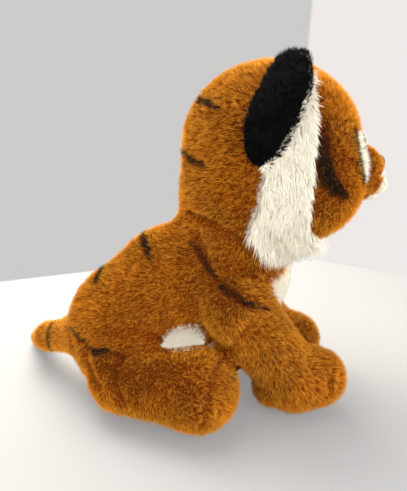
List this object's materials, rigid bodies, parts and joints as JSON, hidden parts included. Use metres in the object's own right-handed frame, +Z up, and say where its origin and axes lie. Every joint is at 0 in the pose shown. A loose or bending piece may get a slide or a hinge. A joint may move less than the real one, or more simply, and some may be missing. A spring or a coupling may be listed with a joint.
{
  "type": "plush tiger",
  "caption": "Stuffed plush tiger sitting with its front legs forward: pile fabric covers round their filling, sewn joints at the head, ears, legs and tail.",
  "frame": {"origin": "on the table, under the middle of the toy's bounding box", "axes": "+Z up; the tiger faces -Y, so its right side is at -X and the tail points to +Y"},
  "size_m": [0.156, 0.2716, 0.2264],
  "materials": {
    "orange_plush": "short pile plush, orange brown with dark stripes",
    "white_plush": "cream white pile, long on the cheeks",
    "black_plush": "long black pile",
    "filling": "loose polyester fibre",
    "pouch_cloth": "woven pouch of plastic pellets",
    "black_plastic": "polished",
    "washer_plastic": "plain moulded",
    "nose_cloth": "short felted cloth"
  },
  "bodies": {
    "torso": {"torso_cover": "orange_plush", "belly_panel": "white_plush", "torso_stuffing": "filling", "pellet_pouch": "pouch_cloth"},
    "head": {"head_cover": "orange_plush", "head_stuffing": "filling", "eye_right": "black_plastic", "eye_washer_right": "washer_plastic", "eye_left": "black_plastic", "eye_washer_left": "washer_plastic", "snout_bridge": "orange_plush", "muzzle_pad_right": "white_plush", "muzzle_pad_left": "white_plush", "chin": "white_plush", "nose": "nose_cloth", "cheek_ruff_right": "white_plush", "cheek_ruff_left": "white_plush"},
    "ear_right": {"ear_right_back": "black_plush", "ear_right_lining": "white_plush"},
    "ear_left": {"ear_left_back": "black_plush", "ear_left_lining": "white_plush"},
    "front_leg_right": {"front_leg_right_cover": "orange_plush", "front_leg_right_stuffing": "filling"},
    "front_leg_left": {"front_leg_left_cover": "orange_plush", "front_leg_left_stuffing": "filling"},
    "hind_leg_right": {"hind_leg_right_cover": "orange_plush", "sole_right": "orange_plush", "hind_leg_right_stuffing": "filling"},
    "hind_leg_left": {"hind_leg_left_cover": "orange_plush", "sole_left": "orange_plush", "hind_leg_left_stuffing": "filling"},
    "tail": {"tail_cover": "orange_plush", "tail_stuffing": "filling"}
  },
  "joints": [
    {"name": "head_turn", "type": "hinge", "parent": "torso", "child": "head", "pos_m": [0, -0.03468, 0.121], "axis": [0, -0.3746, 0.9272], "range_deg": [-15, 15], "stiffness_Nm_per_rad": 0.6},
    {"name": "ear_right_fold", "type": "hinge", "parent": "head", "child": "ear_right", "pos_m": [-0.0469, -0.04303, 0.20031], "axis": [-0.4137, 0.4039, -0.8159], "range_deg": [-6, 18], "stiffness_Nm_per_rad": 0.03},
    {"name": "ear_left_fold", "type": "hinge", "parent": "head", "child": "ear_left", "pos_m": [0.0469, -0.04303, 0.20031], "axis": [-0.4137, -0.4039, 0.8159], "range_deg": [-6, 18], "stiffness_Nm_per_rad": 0.03},
    {"name": "front_leg_right_swing", "type": "hinge", "parent": "torso", "child": "front_leg_right", "pos_m": [-0.03496, -0.0332, 0.07728], "axis": [1, 0, 0], "range_deg": [-14, 4], "stiffness_Nm_per_rad": 0.35},
    {"name": "front_leg_left_swing", "type": "hinge", "parent": "torso", "child": "front_leg_left", "pos_m": [0.03496, -0.0332, 0.07728], "axis": [1, 0, 0], "range_deg": [-14, 4], "stiffness_Nm_per_rad": 0.35},
    {"name": "hind_leg_right_swing", "type": "hinge", "parent": "torso", "child": "hind_leg_right", "pos_m": [-0.0368, 0.04067, 0.03312], "axis": [0, 0, -1], "range_deg": [0, 16], "stiffness_Nm_per_rad": 0.35},
    {"name": "hind_leg_left_swing", "type": "hinge", "parent": "torso", "child": "hind_leg_left", "pos_m": [0.0368, 0.04067, 0.03312], "axis": [0, 0, 1], "range_deg": [0, 16], "stiffness_Nm_per_rad": 0.35},
    {"name": "tail_swing", "type": "hinge", "parent": "torso", "child": "tail", "pos_m": [0.00276, 0.07885, 0.03726], "axis": [0, 0, 1], "range_deg": [-18, 22], "stiffness_Nm_per_rad": 0.08}
  ]
}
